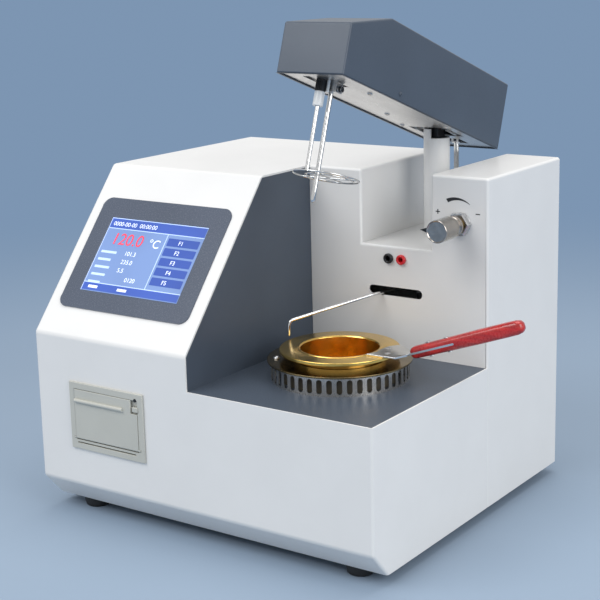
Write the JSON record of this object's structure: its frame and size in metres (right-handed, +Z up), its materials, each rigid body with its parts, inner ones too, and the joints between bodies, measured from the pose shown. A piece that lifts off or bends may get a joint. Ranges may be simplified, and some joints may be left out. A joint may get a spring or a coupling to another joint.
{
  "type": "flash point tester",
  "caption": "Bench open cup flash point tester: a head that lifts and tilts over a heated brass cup, a swinging test flame, a touch screen and a strip printer.",
  "frame": {"origin": "on the table, under the middle of the whole tester's box", "axes": "+Z up, +Y from the front to the back, +X from the screen side to the gas valve side"},
  "size_m": [0.398, 0.3326, 0.4136],
  "materials": {
    "white_paint": "satin",
    "grey_plate": "satin",
    "zinc_steel": "brushed",
    "bright_steel": "polished",
    "screw_steel": "satin",
    "black_rubber": "matte",
    "bezel_blue": "satin",
    "screen_glass": "gloss",
    "printer_grey": "matte",
    "black_plastic": "satin",
    "paper_white": "matte",
    "valve_brass": "satin",
    "red_plastic": "gloss",
    "bronze_plate": "satin",
    "heater_alloy": "cast",
    "mica_band": "matte",
    "cup_brass": "polished",
    "handle_red": "gloss",
    "column_white": "satin",
    "head_blue": "satin",
    "white_ceramic": "gloss",
    "bush_polymer": "matte",
    "motor_grey": "satin",
    "board_green": "matte"
  },
  "bodies": {
    "cabinet": {"base_tray": "zinc_steel", "console_shell": "white_paint", "deck_shell": "white_paint", "tower_shell": "white_paint", "bay_liner": "grey_plate", "rear_panel": "white_paint", "cabinet_screws": "screw_steel", "rubber_feet": "black_rubber", "screen_bezel": "bezel_blue", "touch_screen": "screen_glass", "printer_frame": "printer_grey", "printer_lamp": "black_plastic", "valve_body": "valve_brass", "valve_nut": "screw_steel", "black_socket": "black_plastic", "red_socket": "red_plastic", "heater_guard": "zinc_steel", "heater_plate": "bronze_plate", "heater_screws": "screw_steel", "heater_block": "heater_alloy", "heater_band": "mica_band", "slide_bushes": "bush_polymer", "sweep_motor": "motor_grey", "motor_bracket": "zinc_steel", "lift_motor": "motor_grey", "control_board": "board_green", "power_supply": "zinc_steel", "power_inlet": "black_plastic", "fan_frame": "black_plastic"},
    "lift_column": {"lift_column": "column_white", "lift_nut": "valve_brass", "hinge_block": "black_plastic", "hinge_pin": "screw_steel"},
    "head": {"head_cover": "head_blue", "head_base_plate": "zinc_steel", "head_screws": "screw_steel", "head_brackets": "zinc_steel", "temperature_probe": "bright_steel", "probe_clamp": "zinc_steel", "flash_ring": "bright_steel", "ring_insulator": "white_ceramic", "connector_block": "black_plastic"},
    "guide_rod": {"guide_rod": "bright_steel", "rod_clevis": "zinc_steel", "clevis_pin": "screw_steel"},
    "lift_screw": {"lift_screw": "screw_steel"},
    "flame_arm": {"flame_tube": "bright_steel", "tube_hub": "zinc_steel"},
    "valve_knob": {"valve_knob": "bright_steel", "knob_pointer": "black_plastic"},
    "cup": {"test_cup": "cup_brass", "cup_bracket": "bright_steel", "cup_handle": "handle_red", "cup_rivets": "screw_steel"},
    "printer_door": {"printer_door": "printer_grey"},
    "feed_button": {"feed_button": "printer_grey"},
    "platen_roller": {"platen_roller": "black_rubber"},
    "paper_roll": {"paper_roll": "paper_white"},
    "power_switch": {"power_switch": "black_plastic"},
    "fan_rotor": {"fan_rotor": "black_plastic"}
  },
  "joints": [
    {"name": "head_lift", "type": "slide", "parent": "cabinet", "child": "lift_column", "axis": [0, 0, 1], "range_m": [-0.0867, 0]},
    {"name": "head_pivot", "type": "hinge", "parent": "lift_column", "child": "head", "pos_m": [0.04987, 0.0843, 0.315], "axis": [1, 0, 0], "range_deg": [0, 19.15]},
    {"name": "rod_slide", "type": "slide", "parent": "cabinet", "child": "guide_rod", "axis": [0, 0, 1], "range_m": [-0.07465, 0]},
    {"name": "screw_turn", "type": "hinge", "parent": "cabinet", "child": "lift_screw", "pos_m": [0.04987, 0.0843, 0.109], "axis": [0, 0, 1], "range_deg": [0, 3902.5]},
    {"name": "flame_swing", "type": "hinge", "parent": "cabinet", "child": "flame_arm", "pos_m": [0.04902, 0.0558, 0.182], "axis": [0, 0, -1], "range_deg": [-46, 0]},
    {"name": "valve_turn", "type": "hinge", "parent": "cabinet", "child": "valve_knob", "pos_m": [0.11082, 0.0153, 0.2475], "axis": [0, 1, 0], "range_deg": [0, 180]},
    {"name": "cup_lift", "type": "slide", "parent": "cabinet", "child": "cup", "axis": [0, 0, 1], "range_m": [0, 0.01]},
    {"name": "printer_door_hinge", "type": "hinge", "parent": "cabinet", "child": "printer_door", "pos_m": [-0.11898, -0.1631, 0.0726], "axis": [1, 0, 0], "range_deg": [0, 75]},
    {"name": "feed_press", "type": "slide", "parent": "cabinet", "child": "feed_button", "axis": [0, 1, 0], "range_m": [0, 0.0015], "stiffness_N_per_m": 400, "springref_m": -0.0005},
    {"name": "platen_spin", "type": "hinge", "parent": "cabinet", "child": "platen_roller", "pos_m": [-0.11898, -0.1537, 0.0707], "axis": [1, 0, 0], "continuous": true},
    {"name": "paper_spin", "type": "hinge", "parent": "cabinet", "child": "paper_roll", "pos_m": [-0.11898, -0.1367, 0.0955], "axis": [1, 0, 0], "continuous": true},
    {"name": "switch_rock", "type": "hinge", "parent": "cabinet", "child": "power_switch", "pos_m": [-0.11398, 0.1433, 0.094], "axis": [1, 0, 0], "range_deg": [0, 14]},
    {"name": "fan_spin", "type": "hinge", "parent": "cabinet", "child": "fan_rotor", "pos_m": [-0.11398, 0.1343, 0.194], "axis": [0, 1, 0], "continuous": true}
  ],
  "couplings": [
    {"joint": "head_pivot", "follows": "head_lift", "rad_per_m": -3.8546},
    {"joint": "rod_slide", "follows": "head_lift", "ratio": 0.85981},
    {"joint": "screw_turn", "follows": "head_lift", "rad_per_m": -785.4}
  ]
}
